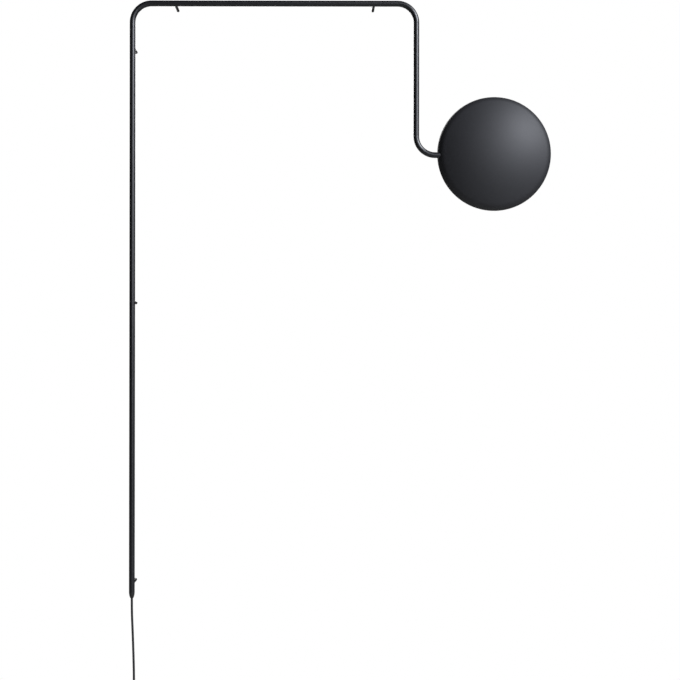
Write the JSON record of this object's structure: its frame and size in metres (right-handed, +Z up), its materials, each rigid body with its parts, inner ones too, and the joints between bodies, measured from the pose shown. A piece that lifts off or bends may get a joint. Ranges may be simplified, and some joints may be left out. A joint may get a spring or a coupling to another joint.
{
  "type": "wall lamp",
  "caption": "Wall lamp on a bent tube rail: a tall upright, a top rail and a drop arm that ends in a tilting domed shade, held off the wall by pegs, with a mains cord.",
  "frame": {"origin": "on the wall plane, midway between the two rail fixings, at the height of the rail's axis", "axes": "+Z up, +X along the rail towards the shade, +Y into the wall"},
  "size_m": [1.1518, 0.108, 2.0341],
  "materials": {
    "graphite_coat": "satin powder coat",
    "black_nylon": "moulded, fine grain",
    "black_pvc": "extruded, satin",
    "zinc_steel": "zinc plated",
    "brass": "turned",
    "nickel": "nickel plated",
    "white_ceramic": "unglazed ceramic",
    "opal_cover": "opal, gloss",
    "lead_insulation": "silicone sleeve"
  },
  "bodies": {
    "wall_frame": {"rail_tube": "graphite_coat", "standoff_rail_left": "graphite_coat", "standoff_rail_right": "graphite_coat", "standoff_upright_top": "graphite_coat", "standoff_upright_middle": "graphite_coat", "standoff_upright_bottom": "graphite_coat", "standoff_drop_arm": "graphite_coat", "cord_gland": "black_nylon", "switch_front": "black_nylon", "switch_back": "black_nylon", "coil_tie": "black_nylon", "plug_body": "black_nylon", "cord_in_tube": "black_pvc", "cord_drop": "black_pvc", "cord_link": "black_pvc", "cord_coil": "black_pvc", "cord_tail": "black_pvc", "standoff_grub_screws": "zinc_steel", "collar_grub_screws": "zinc_steel", "collar_outer": "zinc_steel", "collar_inner": "zinc_steel", "wave_washer": "zinc_steel", "thread_nipple": "zinc_steel", "ring_nuts": "zinc_steel", "holder_bridge": "zinc_steel", "holder_screws": "zinc_steel", "switch_screws": "zinc_steel", "rocker_pin": "zinc_steel", "tube_insert": "brass", "switch_terminals": "brass", "holder_contacts": "nickel", "bulb_pins": "nickel", "plug_pins": "nickel", "lamp_holder": "white_ceramic", "bulb_base": "white_ceramic", "led_board": "white_ceramic", "bulb_capsule": "opal_cover", "lead_wires": "lead_insulation"},
    "shade": {"shade_dome": "graphite_coat", "shade_bracket": "zinc_steel", "bush_outer": "black_nylon", "bush_inner": "black_nylon", "shade_studs": "zinc_steel", "stud_nuts": "zinc_steel"},
    "switch_rocker": {"switch_rocker": "black_nylon"}
  },
  "joints": [
    {"name": "shade_swivel", "type": "hinge", "parent": "wall_frame", "child": "shade", "pos_m": [0.4704, -0.06, -0.398], "axis": [1, 0, 0], "range_deg": [-15, 15]},
    {"name": "rocker_press", "type": "hinge", "parent": "wall_frame", "child": "switch_rocker", "pos_m": [-0.3672, -0.065, -1.819], "axis": [-1, 0, 0], "range_deg": [0, 16]}
  ]
}
